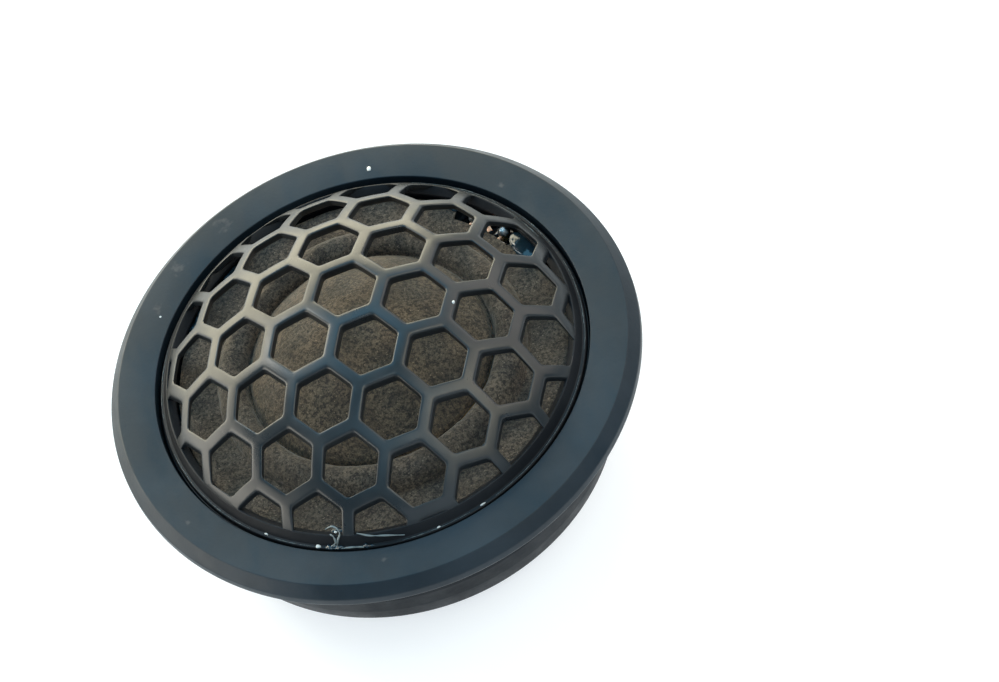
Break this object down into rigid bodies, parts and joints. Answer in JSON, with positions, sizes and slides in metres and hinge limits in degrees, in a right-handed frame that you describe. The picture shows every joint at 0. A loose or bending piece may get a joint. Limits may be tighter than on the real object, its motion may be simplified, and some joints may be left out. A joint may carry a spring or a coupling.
{
  "type": "car tweeter",
  "caption": "Round car tweeter with a bevelled flange, domed honeycomb grille, textile dome diaphragm, neodymium motor and closed rear can.",
  "frame": {"origin": "centre of the flat rear boss, on the sound axis; the part lies on its back on the XY plane", "axes": "+Z along the sound axis, out of the grille; X and Y across the flange, with one row of grille openings 30 degrees from X"},
  "size_m": [0.056, 0.056, 0.0277],
  "materials": {
    "flange_plastic": "satin, fine moulded grain",
    "can_plastic": "satin",
    "grille_plastic": "satin black",
    "carrier_plastic": "glossy black",
    "textile": "coated woven textile",
    "foam": "open-cell foam",
    "felt": "wool felt",
    "rubber": "matte",
    "steel": "zinc-plated turned steel",
    "screw_steel": "zinc-plated",
    "nickel_plate": "nickel-plated magnet",
    "copper": "bare and enamelled copper",
    "brass": "plated brass",
    "solder": "bright solder",
    "former_film": "polyimide film",
    "red_wire": "PVC insulation",
    "black_wire": "PVC insulation"
  },
  "bodies": {
    "housing": {"front_flange": "flange_plastic", "hex_grille": "grille_plastic", "neck_seal": "rubber", "rear_can": "can_plastic", "chamber_foam": "foam", "cable_gland": "rubber", "motor_cup": "steel", "magnet": "nickel_plate", "pole_plate": "steel", "shorting_cap": "copper", "damping_felt": "felt", "diaphragm_carrier": "carrier_plastic", "surround_ring": "carrier_plastic", "carrier_gasket": "foam", "carrier_screw_1": "screw_steel", "carrier_screw_2": "screw_steel", "carrier_screw_3": "screw_steel", "terminal_block": "carrier_plastic", "terminal_pin_positive": "brass", "terminal_pin_negative": "brass", "solder_joint_positive": "solder", "solder_joint_negative": "solder", "hookup_wire_positive": "red_wire", "hookup_wire_negative": "black_wire", "surround": "textile", "tinsel_lead_positive": "copper", "tinsel_lead_negative": "copper"},
    "diaphragm": {"dome_diaphragm": "textile", "voice_coil_former": "former_film", "voice_coil_winding": "copper"}
  },
  "joints": [
    {"name": "diaphragm_travel", "type": "slide", "parent": "housing", "child": "diaphragm", "axis": [0, 0, 1], "range_m": [-0.0005, 0.0005], "stiffness_N_per_m": 1000, "deforming": ["surround", "tinsel_lead_positive", "tinsel_lead_negative"]}
  ]
}
